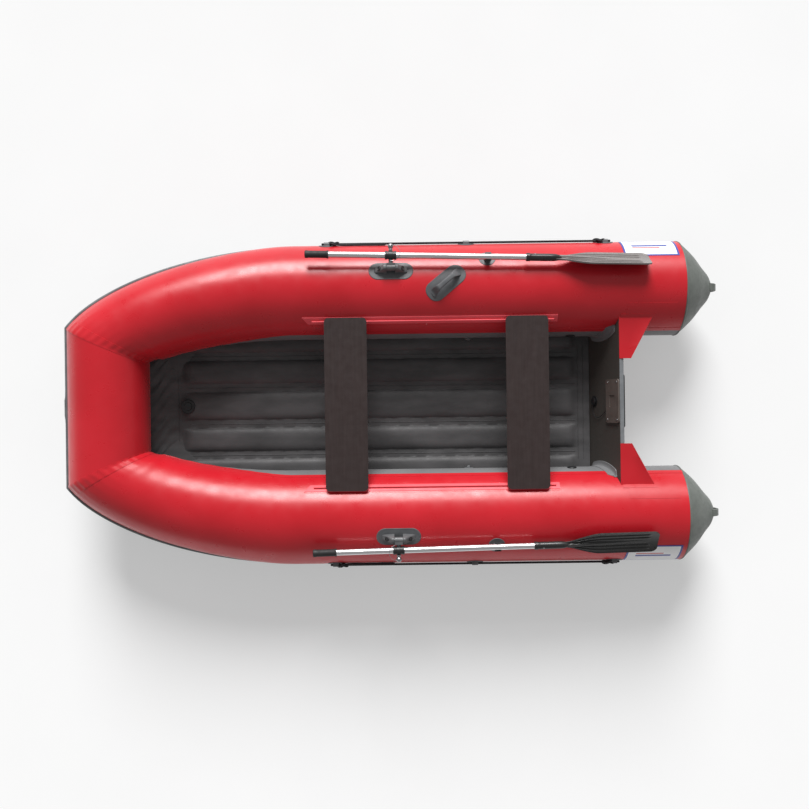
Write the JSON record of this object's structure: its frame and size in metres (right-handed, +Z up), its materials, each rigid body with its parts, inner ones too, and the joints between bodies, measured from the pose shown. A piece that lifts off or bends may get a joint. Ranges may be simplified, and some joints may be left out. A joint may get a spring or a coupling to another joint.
{
  "type": "inflatable dinghy",
  "caption": "Inflatable dinghy with a wooden transom, air floor, sliding bench seats, hinged oarlocks and oars stowed along its side tubes.",
  "frame": {"origin": "centre of the boat's outline at the underside of the side tubes", "axes": "+X towards the bow, +Y to port, +Z up"},
  "size_m": [3.3488, 1.667, 0.5667],
  "materials": {
    "tube_fabric": "coated fabric, satin",
    "grey_fabric": "coated fabric, satin",
    "grey_rubber": "matt moulded rubber",
    "black_plastic": "satin moulded nylon",
    "grip_rubber": "matt",
    "blade_plastic": "satin moulded",
    "steel": "satin",
    "shaft_aluminium": "bright anodised",
    "rope": "braided",
    "transom_ply": "coated plywood",
    "pad_plastic": "satin",
    "seat_ply": "film faced plywood, satin"
  },
  "bodies": {
    "hull": {"air_floor": "grey_fabric", "bow_tube": "tube_fabric", "drain_tether": "rope", "drain_valve_body": "black_plastic", "floor_valve_body": "black_plastic", "inner_motor_pad": "pad_plastic", "outer_motor_plate": "black_plastic", "port_aft_rope_eye": "grey_rubber", "port_fore_rope_eye": "grey_rubber", "port_grab_rope": "rope", "port_gusset": "tube_fabric", "port_lashing_tab": "black_plastic", "port_mid_rope_eye": "grey_rubber", "port_oar_clip": "black_plastic", "port_oarlock_base": "black_plastic", "port_oarlock_pin": "steel", "port_seat_rail": "tube_fabric", "port_stern_cone": "grey_fabric", "port_stern_lug": "grey_rubber", "port_transom_seal": "grey_fabric", "port_tube": "tube_fabric", "port_tube_valve": "black_plastic", "rubbing_strake": "grey_rubber", "starboard_aft_rope_eye": "grey_rubber", "starboard_carry_handle": "grey_rubber", "starboard_fore_rope_eye": "grey_rubber", "starboard_grab_rope": "rope", "starboard_gusset": "tube_fabric", "starboard_lashing_tab": "black_plastic", "starboard_mid_rope_eye": "grey_rubber", "starboard_oar_clip": "black_plastic", "starboard_oarlock_base": "black_plastic", "starboard_oarlock_pin": "steel", "starboard_seat_rail": "tube_fabric", "starboard_stern_cone": "grey_fabric", "starboard_stern_lug": "grey_rubber", "starboard_transom_seal": "grey_fabric", "starboard_tube": "tube_fabric", "starboard_tube_valve": "black_plastic", "transom_board": "transom_ply", "transom_trim": "grey_rubber"},
    "front_seat": {"front_seat": "seat_ply"},
    "rear_seat": {"rear_seat": "seat_ply"},
    "floor_valve_cap": {"floor_valve_cap": "black_plastic"},
    "floor_valve_poppet": {"floor_valve_poppet": "black_plastic"},
    "drain_plug": {"drain_plug": "black_plastic"},
    "port_yoke": {"port_oarlock_yoke": "black_plastic", "port_oarlock_knob": "black_plastic"},
    "port_oar": {"port_oar_collar": "black_plastic", "port_oar_shaft": "shaft_aluminium", "port_oar_grip": "grip_rubber", "port_oar_blade": "blade_plastic"},
    "port_lashing_ring": {"port_lashing_ring": "steel"},
    "starboard_yoke": {"starboard_oarlock_yoke": "black_plastic", "starboard_oarlock_knob": "black_plastic"},
    "starboard_oar": {"starboard_oar_collar": "black_plastic", "starboard_oar_shaft": "shaft_aluminium", "starboard_oar_grip": "grip_rubber", "starboard_oar_blade": "blade_plastic"},
    "starboard_lashing_ring": {"starboard_lashing_ring": "steel"}
  },
  "joints": [
    {"name": "front_seat_slide", "type": "slide", "parent": "hull", "child": "front_seat", "axis": [1, 0, 0], "range_m": [-0.33, 0.09]},
    {"name": "rear_seat_slide", "type": "slide", "parent": "hull", "child": "rear_seat", "axis": [1, 0, 0], "range_m": [-0.05, 0.33]},
    {"name": "port_oarlock_tilt", "type": "hinge", "parent": "hull", "child": "port_yoke", "pos_m": [-0.013, 0.67251, 0.50485], "axis": [1, 0, 0], "range_deg": [0, 75]},
    {"name": "port_oar_swing", "type": "hinge", "parent": "port_yoke", "child": "port_oar", "pos_m": [-0.013, 0.72301, 0.50485], "axis": [0, 1, 0], "range_deg": [0, 6]},
    {"name": "starboard_oarlock_tilt", "type": "hinge", "parent": "hull", "child": "starboard_yoke", "pos_m": [0.009, -0.67251, 0.50485], "axis": [-1, 0, 0], "range_deg": [0, 75]},
    {"name": "starboard_oar_swing", "type": "hinge", "parent": "starboard_yoke", "child": "starboard_oar", "pos_m": [0.009, -0.73251, 0.50485], "axis": [0, 1, 0], "range_deg": [0, 6]},
    {"name": "floor_valve_cap_turn", "type": "hinge", "parent": "hull", "child": "floor_valve_cap", "pos_m": [1.098, 0, 0.161], "axis": [0, 0, 1], "range_deg": [0, 90]},
    {"name": "floor_valve_poppet_press", "type": "slide", "parent": "hull", "child": "floor_valve_poppet", "axis": [0, 0, -1], "range_m": [0, 0.006], "stiffness_N_per_m": 200, "springref_m": -0.003},
    {"name": "drain_plug_pull", "type": "slide", "parent": "hull", "child": "drain_plug", "axis": [0.9483, 0, 0.3173], "range_m": [0, 0.02]},
    {"name": "port_lashing_ring_swing", "type": "hinge", "parent": "hull", "child": "port_lashing_ring", "pos_m": [-0.3825, 0.3343, 0.2028], "axis": [-1, 0, 0], "range_deg": [0, 80]},
    {"name": "starboard_lashing_ring_swing", "type": "hinge", "parent": "hull", "child": "starboard_lashing_ring", "pos_m": [-0.3885, -0.3343, 0.2028], "axis": [1, 0, 0], "range_deg": [0, 80]}
  ]
}
